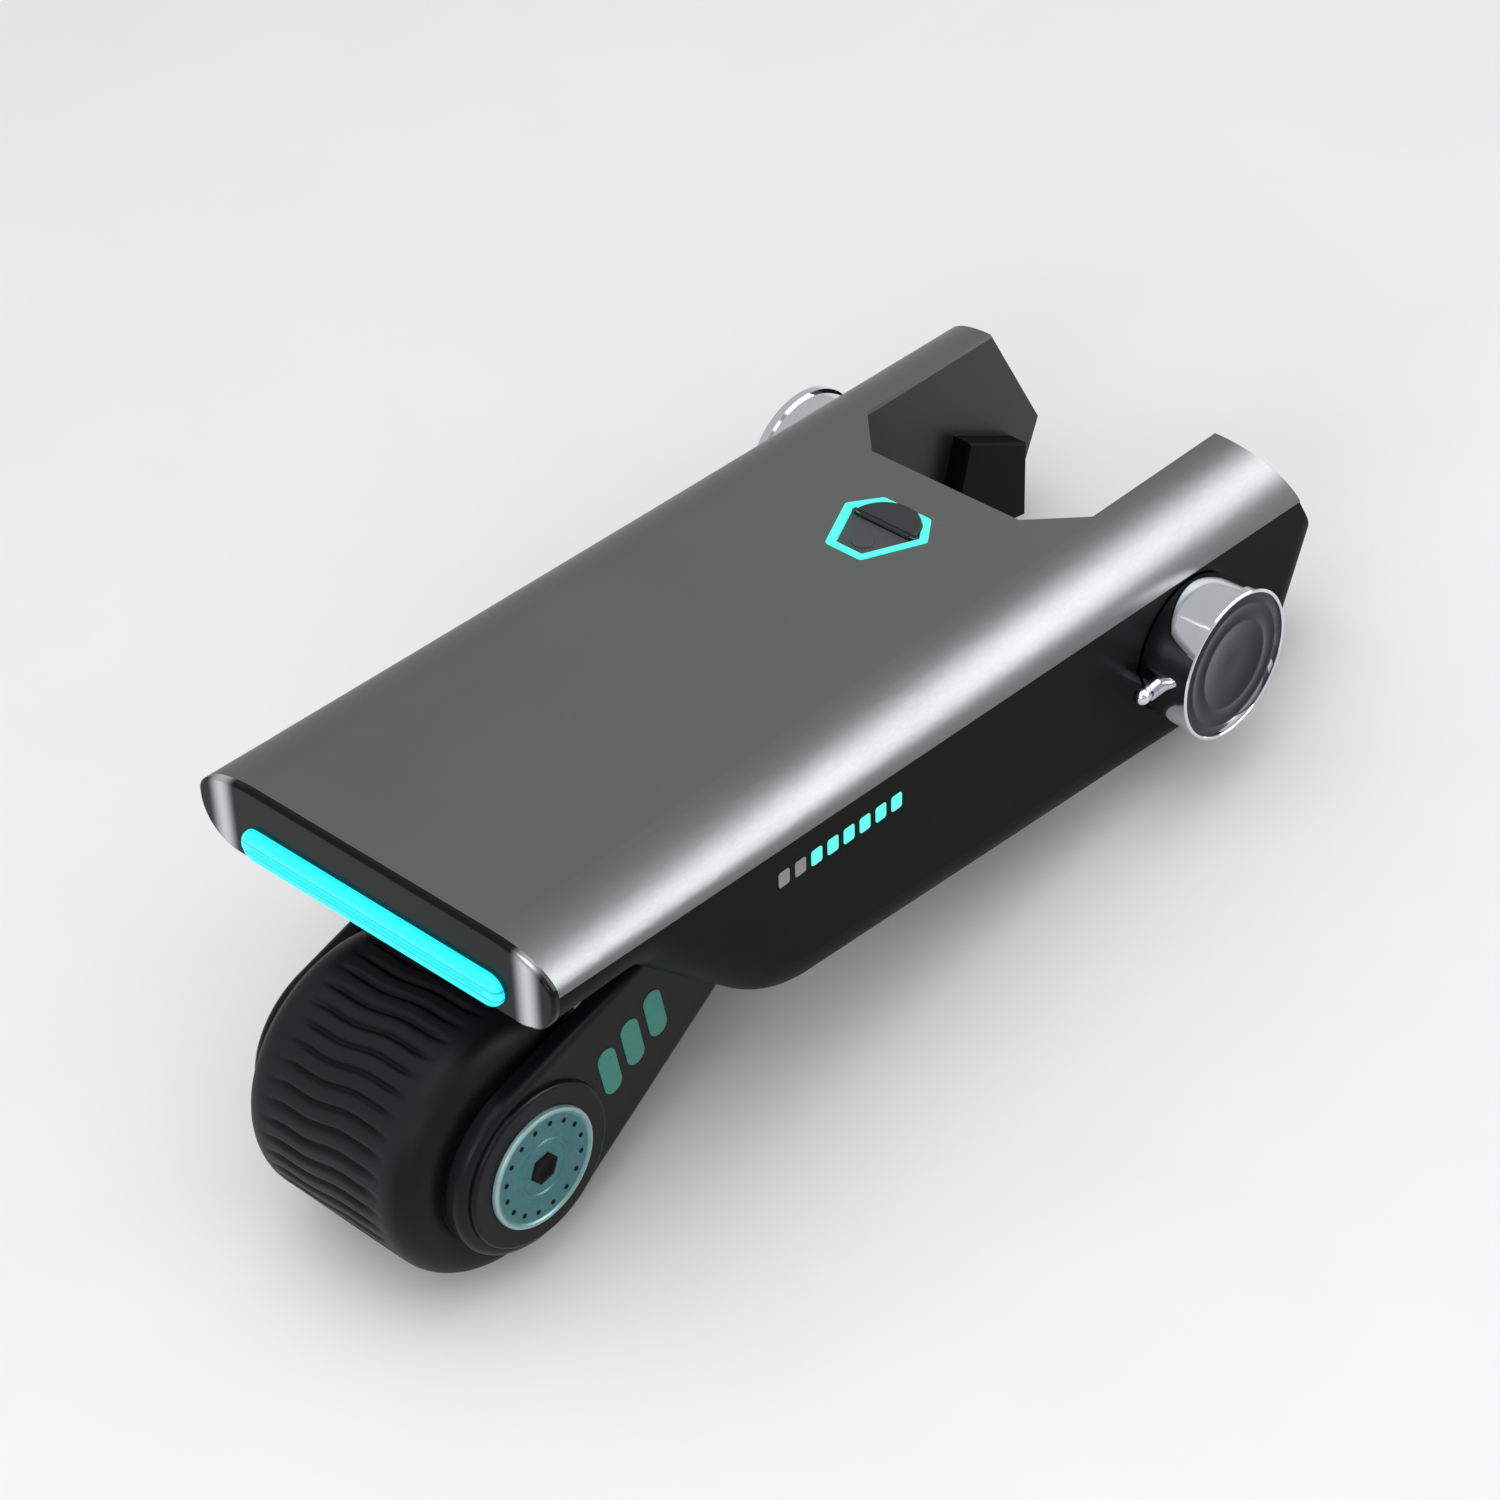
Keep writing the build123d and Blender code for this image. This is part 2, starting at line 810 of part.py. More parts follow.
# ---------------------------------------------------------------- swing arm
def arm():
    """Right arm plate: round hub and heel joined by straight tangents, with a hub boss."""
    with BuildSketch(Plane.YZ.offset(arm_inner)) as sketch:
        with Locations(axle):
            Circle(arm_hub_radius)
        with Locations(pivot):
            Circle(arm_heel_radius)
        make_hull()
    plate = extrude(sketch.sketch, amount=arm_thickness)
    outer = arm_inner + arm_thickness
    plate = fillet(plate.faces().sort_by(Axis.X)[-1].edges(), arm_edge)
    boss = rod((outer - rib, outer + boss_height), axle, boss_radius)
    boss = fillet(boss.faces().sort_by(Axis.X)[-1].edges(), boss_height * 3 / 4)
    plate += boss
    plate -= rod((0, reach), axle, axle_radius)
    plate -= rod((outer + boss_height - nut_height, reach), axle, nut_radius + running_fit)
    return plate - rod((0, reach), pivot, pivot_tube_radius)


def pivot_tube():
    """Tube that joins the two arms about the pivot shaft."""
    end = arm_inner + arm_thickness
    tube = rod((-end, end), pivot, pivot_tube_radius)
    return tube - rod((-end, end), pivot, pivot_tube_radius - pivot_tube_wall)


def torsion_bushes():
    """Rubber bushes between tube and shaft that spring the arm."""
    end = arm_inner + arm_thickness
    outer = pivot_tube_radius - pivot_tube_wall
    inner = shaft_radius + running_fit
    bush = rod((rib, end), pivot, outer) - rod((0, reach), pivot, inner)
    return pair(bush)


def axle_rod():
    """Fixed wheel axle between the arms."""
    end = arm_inner + arm_thickness + boss_height - rib / 2
    return rod((-end, end), axle, axle_radius)


def axle_nuts():
    """Nuts sunk in the arm bosses, under the hub caps."""
    high = arm_inner + arm_thickness + boss_height
    nut = rod((high - nut_height, high), axle, nut_radius)
    return pair(nut - rod((0, high - rib / 2), axle, axle_radius))


def hub_caps():
    """Discs that close the arm bosses."""
    low = arm_inner + arm_thickness + boss_height
    disc = rod((low, low + cap_disc_height), axle, cap_disc_radius)
    return pair(fillet(disc.faces().sort_by(Axis.X)[-1].edges(), cap_disc_height / 2))


def arm_badges():
    """Raised capsule badges in a row along each arm."""
    dy = pivot_y - axle_y
    dz = axle_drop - pivot_drop
    lean = math.degrees(math.atan2(dz, dy))
    outer = arm_inner + arm_thickness
    badges = []
    for index in range(badge_count):
        share = (boss_radius + badge_size[1] * (badge_step * index + 1)) / math.hypot(dy, dz)
        plane = Plane.YZ.offset(outer)
        with BuildSketch(plane) as sketch:
            with Locations((axle_y + dy * share, -axle_drop + dz * share)):
                SlotOverall(badge_size[0], badge_size[1], rotation=lean + badge_lean)
        badges += pair(extrude(sketch.sketch, amount=badge_height))
    return badges


def stator():
    """Laminated stator core with its teeth, pressed on the axle."""
    core = rod((-stator_half_width, stator_half_width), axle, stator_core)
    for index in range(tooth_count):
        turn = Rot(X=360 * index / tooth_count)
        tooth = box((-stator_half_width, stator_half_width), (stator_core - rib, tooth_radius),
                    (-tooth_width / 2, tooth_width / 2))
        core += Pos(0, *axle) * turn * tooth
    return core - rod((-reach, reach), axle, axle_radius)


def windings():
    """Copper end turns on both faces of the stator."""
    low = stator_half_width
    ring = rod((low, low + winding_height), axle, tooth_radius - rib / 2)
    ring -= rod((low, low + winding_height), axle, stator_core - 2 * rib)
    return pair(fillet(ring.edges().filter_by(GeomType.CIRCLE).group_by(Axis.X)[-1], rib / 2))


# ---------------------------------------------------------------- wheel
def tyre():
    """Wide rubber tyre with rounded shoulders."""
    body = rod((-tyre_half_width, tyre_half_width), axle, tyre_radius)
    body = fillet(body.edges().filter_by(GeomType.CIRCLE), tyre_shoulder)
    return body - rod((-reach, reach), axle, tyre_bore)


def rotor_drum():
    """Steel drum that carries the tyre outside and the magnets inside."""
    drum = rod((-rotor_half_width, rotor_half_width), axle, tyre_bore)
    return drum - rod((-reach, reach), axle, tyre_bore - rim_wall)


def magnets():
    """Magnets round the inside of the drum."""
    outer = tyre_bore - rim_wall
    shell = rod((-stator_half_width, stator_half_width), axle, outer)
    shell -= rod((-reach, reach), axle, outer - magnet_thickness)
    pieces = []
    for index in range(magnet_count):
        bar = box((-reach, reach), (0, reach / 4), (-magnet_width / 2, magnet_width / 2))
        pieces.append(shell & (Pos(0, *axle) * Rot(X=360 * index / magnet_count) * bar))
    return pieces


def motor_covers():
    """Side covers of the motor, with their bearing seats."""
    start = rotor_half_width
    disc = rod((start, start + cover_plate), axle, tyre_bore)
    seat = rod((start - bearing_width, start + cover_plate), axle, bearing_outer + rib)
    disc = disc + seat - rod((start - bearing_width, start), axle, bearing_outer)
    return pair(disc - rod((0, reach), axle, axle_radius + 2 * rib / 3))


def bearings():
    """Ball bearings between the axle and the motor covers."""
    start = rotor_half_width - bearing_width
    ring = rod((start, rotor_half_width), axle, bearing_outer)
    return pair(ring - rod((0, reach), axle, axle_radius + running_fit))


# ---------------------------------------------------------------- side lamps
def lamp_housing():
    """Bullet housing: round back about the tilt axis, short barrel and two ears."""
    at = (lamp_y, -lamp_drop)
    back = Pos(*lamp_centre) * Sphere(lamp_radius)
    back -= Pos(*lamp_centre) * Sphere(lamp_radius - lamp_wall)
    back &= box((0, lamp_x), (0, reach * 2), (-reach, 0))
    barrel = rod((lamp_x, lamp_x + lamp_length), at, lamp_radius)
    barrel -= rod((lamp_x, lamp_x + lamp_length), at, lamp_radius - lamp_wall)
    housing = back + barrel
    for side in (1, -1):
        centre = lamp_y + side * (lamp_radius + ear_length / 2)
        ear = Pos(lamp_x, centre, -lamp_drop) * Rot(X=90) * Cylinder(ear_radius, ear_length + 1)
        bore = Cylinder(lamp_tip_radius + running_fit, ear_length + 2)
        housing += ear - Pos(*lamp_centre) * Sphere(lamp_radius - lamp_wall)
        housing -= Pos(lamp_x, centre, -lamp_drop) * Rot(X=90) * bore
    return housing


def lamp_bezel():
    """Rim that clamps the glass to the barrel."""
    at = (lamp_y, -lamp_drop)
    start = lamp_x + lamp_length
    ring = rod((start - glass_thickness, start + bezel_length - glass_thickness), at, bezel_radius)
    ring -= rod((0, start), at, lamp_radius)
    ring -= rod((0, reach), at, lamp_radius - 2 * lamp_wall)
    front = ring.faces().sort_by(Axis.X)[-1].outer_wire().edges()
    return fillet(front, lamp_wall / 2)


def lamp_glass():
    """Flat glass held behind the bezel's lip."""
    start = lamp_x + lamp_length - glass_thickness
    radius = lamp_radius - lamp_wall - running_fit
    return rod((start, start + glass_thickness), (lamp_y, -lamp_drop), radius)


def lamp_reflector():
    """Conical reflector between the glass and the light source."""
    front = lamp_x + lamp_length - glass_thickness
    depth = 2 * lamp_length
    mouth = lamp_radius - lamp_wall
    throat = mouth / 3
    cone = Pos(front - depth / 2, lamp_y, -lamp_drop) * Rot(Y=90) * Cone(throat, mouth, depth)
    bore = Pos(front - depth / 2, lamp_y, -lamp_drop) * Rot(Y=90) * Cone(
        throat - board_thickness, mouth - board_thickness, depth)
    return cone - bore


def lamp_source():
    """Light source board on the throat of the reflector."""
    front = lamp_x + lamp_length - glass_thickness - 2 * lamp_length
    return rod((front - board_thickness, front), (lamp_y, -lamp_drop), lamp_radius / 3)


def lamp_brackets():
    """Brackets that stand on the side walls and hold the lamps' pivot pins."""
    start = lamp_radius + ear_length + bracket_gap
    brackets = []
    for side in (1, -1):
        near, far = sorted((side * start, side * (start + bracket_thickness)))
        arm_box = box((tub_half, lamp_x), (lamp_y + near, lamp_y + far),
                      (-lamp_drop - ear_radius, -lamp_drop + ear_radius))
        centre = lamp_y + (near + far) / 2
        eye = Pos(lamp_x, centre, -lamp_drop) * Rot(X=90) * Cylinder(ear_radius, far - near)
        hole = Pos(lamp_x, centre, -lamp_drop) * Rot(X=90) * Cylinder(lamp_pin_radius, far - near)
        brackets += pair(arm_box + eye - hole)
    return brackets


def lamp_pins():
    """Ball-headed pivot pins of the lamps."""
    start = lamp_radius + ear_length + bracket_gap
    pins = []
    for side in (1, -1):
        shank = Cylinder(lamp_pin_radius, bracket_thickness)
        tip = Cylinder(lamp_tip_radius, ear_length)
        reach_y = lamp_y + side * (start + bracket_thickness / 2)
        tip_at = lamp_y + side * (start - ear_length / 2)
        head_at = lamp_y + side * (start + bracket_thickness + lamp_head_radius / 2)
        pin = Pos(lamp_x, reach_y, -lamp_drop) * Rot(X=90) * shank
        pin += Pos(lamp_x, tip_at, -lamp_drop) * Rot(X=90) * tip
        head = Pos(lamp_x, head_at, -lamp_drop) * Sphere(lamp_head_radius)
        keep = sorted((start + bracket_thickness, 2 * lamp_radius))
        edges = sorted((lamp_y + side * keep[0], lamp_y + side * keep[1]))
        pin += head & box((0, reach), edges, (-reach, 0))
        pins += pair(pin)
    return pins


# ---------------------------------------------------------------- assembly and export
def left_lamp(piece):
    """A lamp piece turned round to the left side; each is even about its own station."""
    return Pos(0, lamp_y, 0) * Rot(Z=180) * Pos(0, -lamp_y, 0) * piece


tub = lower_tub()
lit = range(gauge_unlit, gauge_count)
unlit = range(gauge_unlit)
nodes = {
    "top_shell": top_shell(),
    "lower_tub": tub,
    "notch_liner": notch_liner(),
    "tail_caps": tail_caps(),
    "front_cap": front_cap(),
    "light_bar_lens": light_bar_lens(),
    "light_bar_board": light_bar_board(),
    "shield_ring_lens": shield_ring_lens(),
    "switch_panel": switch_panel(),
    "shield_board": shield_board(),
    "power_button": power_button(),
    "charge_inlet": charge_inlet(),
    "port_cover": port_cover(),
    "port_cover_pin": cover_pin(),
    "gauge_bars_lit": gauge_bars(lit, tub_wall),
    "gauge_bars_unlit": gauge_bars(unlit, tub_wall),
    "gauge_boards": gauge_boards(),
    "dock_blocks": dock_blocks(),
    "tail_skids": tail_skids(tub),
    "battery_cells": battery_cells(),
    "battery_holder": battery_holder(),
    "battery_board": battery_board(),
    "controller_base": controller_base(),
    "controller_board": controller_board(),
    "controller_capacitors": capacitors(),
    "balance_board": balance_board(),
    "battery_lead": battery_lead(),
    "body_screws": body_screws(),
    "pivot_shaft": pivot_shaft(),
    "pivot_nuts": pivot_nuts(),
    "bump_stops": bump_stops(),
    "right_arm": arm(),
    "left_arm": mirror(arm(), about=Plane.YZ),
    "pivot_tube": pivot_tube(),
    "torsion_bushes": torsion_bushes(),
    "wheel_axle": axle_rod(),
    "axle_nuts": axle_nuts(),
    "hub_caps": hub_caps(),
    "arm_badges": arm_badges(),
    "motor_stator": stator(),
    "motor_windings": windings(),
    "tyre": tyre(),
    "rotor_drum": rotor_drum(),
    "rotor_magnets": magnets(),
    "motor_covers": motor_covers(),
    "wheel_bearings": bearings(),
    "lamp_brackets": lamp_brackets(),
    "lamp_pins": lamp_pins(),
}
lamp = {
    "lamp_housing": lamp_housing(),
    "lamp_bezel": lamp_bezel(),
    "lamp_glass": lamp_glass(),
    "lamp_reflector": lamp_reflector(),
    "lamp_source": lamp_source(),
}
for name, piece in lamp.items():
    nodes["right_" + name] = piece
    nodes["left_" + name] = left_lamp(piece)


def as_compound(piece):
    """One compound of all the solids in a node."""
    parts = piece if isinstance(piece, list) else [piece]
    return Compound([solid for part in parts for solid in part.solids()])


tilted = {name: Rot(X=-rest_tilt) * as_compound(piece) for name, piece in nodes.items()}
bounds = Compound(list(tilted.values())).bounding_box()
centre = bounds.center()
rest = Pos(-centre.X, -centre.Y, -bounds.min.Z) * Rot(X=-rest_tilt)
for name, piece in nodes.items():
    export_step(rest * as_compound(piece), f"parts/{name}.step")
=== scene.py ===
"""Looks of a fork-tailed self-balancing board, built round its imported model."""
import json
import math

import bpy
from mathutils import Matrix, Vector


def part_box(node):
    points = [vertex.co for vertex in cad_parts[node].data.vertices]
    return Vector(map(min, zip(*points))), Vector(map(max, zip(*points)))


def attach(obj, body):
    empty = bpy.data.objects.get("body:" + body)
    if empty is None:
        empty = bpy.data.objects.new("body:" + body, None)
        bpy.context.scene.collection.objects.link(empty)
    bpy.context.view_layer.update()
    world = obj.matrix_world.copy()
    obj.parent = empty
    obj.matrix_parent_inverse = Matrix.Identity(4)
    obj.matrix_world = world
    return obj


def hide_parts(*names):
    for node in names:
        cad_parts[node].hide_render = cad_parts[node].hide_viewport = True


bl_info = {
    "name": "Self-balancing board",
    "version": (1, 0, 0),
    "blender": (4, 5, 0),
    "location": "3D View > Sidebar > Board",
    "description": "Finishes and moulded detail for a fork-tailed self-balancing board",
    "category": "Object",
}

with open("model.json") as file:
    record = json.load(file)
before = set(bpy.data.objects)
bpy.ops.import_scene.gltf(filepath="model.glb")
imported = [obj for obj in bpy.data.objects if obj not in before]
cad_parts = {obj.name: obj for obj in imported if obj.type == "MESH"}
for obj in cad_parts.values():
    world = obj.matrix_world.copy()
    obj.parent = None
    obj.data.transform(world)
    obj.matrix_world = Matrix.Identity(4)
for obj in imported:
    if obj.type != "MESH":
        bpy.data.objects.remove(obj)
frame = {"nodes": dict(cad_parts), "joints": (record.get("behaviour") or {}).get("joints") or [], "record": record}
MM = 0.001
CLOSE = 0.01 * MM
SMOOTH_UNDER = math.radians(35)

# tyre: its rounded shoulder and its bore, and how finely its section and each sipe are drawn
SHOULDER = 18 * MM
BORE = 50 * MM
SHOULDER_STEPS = 10
TREAD_STEPS = 56
STEPS_PER_SIPE = 10
# a sipe's long swing across the tread, the short one that rides on it, and its own width
LONG_SWING = 21 * MM
SHORT_SWING = 6 * MM
SHORT_SHARE = 0.2
SIPE_SHARE = 0.15
FADE_RATE = 3

# hub cap: its depth, the dish in its face, and how finely it is drawn
CAP_DEPTH = 2.5 * MM
CAP_DISH = 0.8 * MM
CAP_SIDES = 96
# hub cap's rolled rim: down from the face, and in from the edge
CAP_RIM = ((0.8, 0), (0.2, 0.4), (0, 1), (0, 2.2), (0.8, 3))
# the raised ring inside it: down from the face, and its radius
CAP_RING = ((0.8, 17), (0.2, 16.2), (0.2, 14.6), (0.8, 14), (0.8, 0.01))
# a dimple: up from the dish, and a share of the dimple's radius
DOT_OUTLINE = ((-0.1, 1), (0.15, 1), (0.2, 0.8), (0.05, 0.6))
DOT_SIDES = 14
DOT_INSET = 7.5 * MM
# the hexagon plug: up from the dish, and its radius
PLUG_OUTLINE = ((-0.1, 9), (0.5, 9), (0.7, 8), (0.7, 6), (0.1, 5), (0.1, 0.01))
PLUG_SIDES = 6

# lamp front: how finely it is drawn, and the bezel's wall
LAMP_SIDES = 128
BEZEL_WALL = 1.45 * MM
# the bezel's rounded front edge, outside and at its lip
BEZEL_SIDE_ROUND = 0.6 * MM
BEZEL_FRONT_ROUND = 0.5 * MM
LIP_FRONT_ROUND = 0.3 * MM
LIP_SIDE_ROUND = 0.4 * MM
GLASS_SUNK = 1.4 * MM
GLASS_GAP = 0.05 * MM
SEAT_GAP = 0.1 * MM
# ridges in the glass: the outer one's place and their spacing as shares of the glass
RIDGE_START = 0.86
RIDGE_STEP = 0.24
RIDGE_FOOT = 1.6 * MM
RIDGE_TOP = 0.6 * MM
RIDGE_HEIGHT = 0.5 * MM
# the glass's middle, which rises slightly
MIDDLE_RADIUS = 6 * MM
MIDDLE_RISE = 0.2 * MM

# light bar: the moulded line each side of its groove, off from it and half its width
LINE_OFF = 2.6 * MM
LINE_HALF = 1.1 * MM
# how broad the faint clouding is, in the finishes and in the lights
CLOUD_SCALE = 14.0
GLOW_SCALE = 60.0

# soft boxes: place across, back and up from the deck's front edge, size in metres, and watts
BOXES = {
    "right_box": ((0.95, 1.2, 1.0), (1.6, 1.4), 50),
    "top_box": ((0.3, -0.4, 2.4), (2.4, 2.4), 30),
    "front_box": ((0.9, -1.6, 0.7), (1.0, 0.6), 10),
}
AIM = (0, 0.3, 0)
FLOOR_SIZE = 14
WORLD_STRENGTH = 0.6
# the camera, in the deck's own directions
LENS = 95.74
SENSOR = 36
LENS_PLACE = (1.1191, -0.9121, 1.1529)
LENS_BACK = (0.5491, -0.5742, 0.6072)
LENS_RIGHT = (0.7365, 0.6760, -0.0267)
NEAR_CLIP = 0.05


# ---------------------------------------------------------------- places read from the frame
def joint(name):
    """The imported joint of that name."""
    return next(j for j in frame["joints"] if j["name"] == name)


# where the wheel's axle stands in the deck's own frame: behind the front face, and below the top
AXLE_BACK = 24 * MM
AXLE_DOWN = 161 * MM
# the light bar's groove runs this far below the deck's top
GROOVE_DOWN = 31 * MM
ACROSS = Vector((1, 0, 0))
DECK_UP = -Vector(joint("power_button_press")["axis"]).normalized()
DECK_BACK = DECK_UP.cross(ACROSS)
AXLE = Vector(joint("wheel_spin")["pos_m"])
DECK_ORIGIN = AXLE - AXLE_BACK * DECK_BACK + AXLE_DOWN * DECK_UP
DECK_TILT = math.atan2(DECK_UP.y, DECK_UP.z)
GROOVE = DECK_ORIGIN - GROOVE_DOWN * DECK_UP


def on_deck(x, y, z):
    """A point given across, back and up from the middle of the deck's front top edge."""
    return DECK_ORIGIN + x * ACROSS + y * DECK_BACK + z * DECK_UP


# ---------------------------------------------------------------- colours
def linear(code):
    """Linear RGBA of an sRGB hex colour."""
    parts = [int(code[i:i + 2], 16) / 255 for i in (0, 2, 4)]
    parts = [p / 12.92 if p <= 0.04045 else ((p + 0.055) / 1.055) ** 2.4 for p in parts]
    return (*parts, 1.0)


def colour(name, description, code):
    """A colour property that starts from a hex colour."""
    return bpy.props.FloatVectorProperty(
        name=name, description=description, default=linear(code), size=4, min=0, max=1,
        subtype="COLOR")


def length(name, description, millimetres):
    """A length property that starts from a size in millimetres."""
    return bpy.props.FloatProperty(
        name=name, description=description, default=millimetres * MM, min=0, subtype="DISTANCE",
        unit="LENGTH", precision=4)


class BoardColours(bpy.types.PropertyGroup):
    """Colours of the board's finishes."""

    cover: colour("Cover", "Anodised cover", "727474")
    body: colour("Body", "Moulded lower body", "0f0f10")
    liner: colour("Liner", "Fork liner and panels", "2a2b2c")
    bar: colour("Light bar", "Front light bar", "22f4ff")
    ring: colour("Ring and gauge", "Shield ring and lit gauge bars", "4ffbe4")
    unlit: colour("Unlit bars", "Gauge bars that are off", "8a8c86")
    tyre: colour("Tyre", "Tyre rubber", "101011")
    arm: colour("Arm", "Coated swing arm", "111013")
    cap: colour("Hub cap", "Anodised hub cap", "3e7b80")
    # the tone the hub cap turns towards its edge
    cap_rim: colour("Hub cap rim", "Worn rim of the hub cap", "9dbcbc")
    badge: colour("Badges", "Printed badges on the arm", "2a8a78")
    glass: colour("Lamp glass", "Smoked lamp glass", "1b2225")


class BoardSizes(bpy.types.PropertyGroup):
    """Sizes of the moulded detail."""

    sipe_count: bpy.props.IntProperty(
        name="Sipes", description="Grooves round the tread", default=42, min=8)
    sipe_depth: length("Sipe depth", "Depth of each groove", 2.6)
    sipe_wave: length("Sipe wave", "How far each groove wanders", 3.2)
    sipe_reach: length("Sipe reach", "Half the width of the grooved band", 42)
    dot_count: bpy.props.IntProperty(
        name="Dots", description="Dimples round each hub cap", default=16, min=3)
    dot_radius: length("Dot radius", "Radius of each dimple", 1.4)
    bezel_lip: length("Bezel lip", "Width of each lamp's bright front edge", 1.9)
    lens_rings: bpy.props.IntProperty(
        name="Lens rings", description="Ridges moulded in each lamp glass", default=2, min=1)


# ---------------------------------------------------------------- materials
def add(tree, kind, sockets=None, **settings):
    """One node with its settings, and each of its sockets set or linked."""
    node = tree.nodes.new(kind)
    for key, value in settings.items():
        setattr(node, key, value)
    for key, value in (sockets or {}).items():
        if isinstance(value, bpy.types.NodeSocket):
            tree.links.new(value, node.inputs[key])
        else:
            node.inputs[key].default_value = value
    return node


def material(name, tone, second, grain, rough, bump, metallic=0.0, stretch=(1, 1, 1), **shader):
    """A surface whose colour, roughness and relief vary with one grain, its size in millimetres."""
    made = bpy.data.materials.new(name)
    made.use_nodes = True
    tree = made.node_tree
    tree.nodes.clear()
    place = add(tree, "ShaderNodeTexCoord").outputs["Object"]
    # the grain follows the tilted deck
    turned = add(tree, "ShaderNodeMapping", {
        "Vector": place, "Rotation": (DECK_TILT, 0, 0), "Scale": stretch}).outputs[0]
    grains = add(tree, "ShaderNodeTexNoise", {
        "Vector": turned, "Scale": 1 / (grain * MM), "Detail": 4.0}).outputs["Fac"]
    clouds = add(tree, "ShaderNodeTexNoise", {"Vector": place, "Scale": CLOUD_SCALE}).outputs["Fac"]
    blend = add(tree, "ShaderNodeMix", {0: grains, 6: tone, 7: second}, data_type="RGBA")
    smear = add(tree, "ShaderNodeMath", {0: grains, 1: clouds}, operation="MULTIPLY").outputs[0]
    matt = add(tree, "ShaderNodeMapRange", {
        "Value": smear, "From Max": 0.5, "To Min": rough[0], "To Max": rough[1]}).outputs[0]
    relief = add(tree, "ShaderNodeBump", {"Height": grains, "Distance": bump * MM, "Strength": 0.5})
    body = add(tree, "ShaderNodeBsdfPrincipled", {
        "Base Color": blend.outputs[2], "Roughness": matt, "Metallic": metallic,
        "Normal": relief.outputs[0], **{k.replace("_", " "): v for k, v in shader.items()}})
    add(tree, "ShaderNodeOutputMaterial", {"Surface": body.outputs[0]})
    body.name = "Surface"
    blend.name = "Tone"
    relief.name = "Relief"
    return made


def shade(code, amount):
    """A colour made lighter or darker."""
    return (*[min(1.0, c * amount) for c in code[:3]], 1.0)


def glowing(name, tone, strength, dim):
    """Light guide: frosted plastic lit from behind, a little darker along its groove."""
    made = material(name, shade(tone, 0.25), shade(tone, 0.2), 6, (0.3, 0.4), 0.02)
    tree = made.node_tree
    place = add(tree, "ShaderNodeTexCoord").outputs["Object"]
    cloud = add(tree, "ShaderNodeTexNoise", {"Vector": place, "Scale": GLOW_SCALE}).outputs["Fac"]
    height = add(tree, "ShaderNodeVectorMath", {0: place, 1: DECK_UP}, operation="DOT_PRODUCT")
    above = add(tree, "ShaderNodeMath", {0: height.outputs["Value"], 1: DECK_UP.dot(GROOVE)},
                operation="SUBTRACT").outputs[0]
    away = add(tree, "ShaderNodeMath", {0: above}, operation="ABSOLUTE").outputs[0]
    beside = add(tree, "ShaderNodeMath", {0: away, 1: LINE_OFF}, operation="SUBTRACT").outputs[0]
    near = add(tree, "ShaderNodeMath", {0: beside}, operation="ABSOLUTE").outputs[0]
    # a moulded line each side of the groove hides the lamps behind it
    groove = add(tree, "ShaderNodeMapRange", {
        "Value": near, "From Max": LINE_HALF, "To Min": 1.0, "To Max": 0.0}).outputs[0]
    faint = add(tree, "ShaderNodeMath", {0: cloud, 1: 0.3}, operation="MULTIPLY").outputs[0]
    dark = add(tree, "ShaderNodeMath", {0: groove, 1: faint}, operation="MAXIMUM").outputs[0]
    lit = add(tree, "ShaderNodeMix", {0: dark, 6: tone, 7: shade(tone, dim)}, data_type="RGBA")
    surface = tree.nodes["Surface"]
    tree.links.new(lit.outputs[2], surface.inputs["Emission Color"])
    surface.inputs["Emission Strength"].default_value = strength
    return made


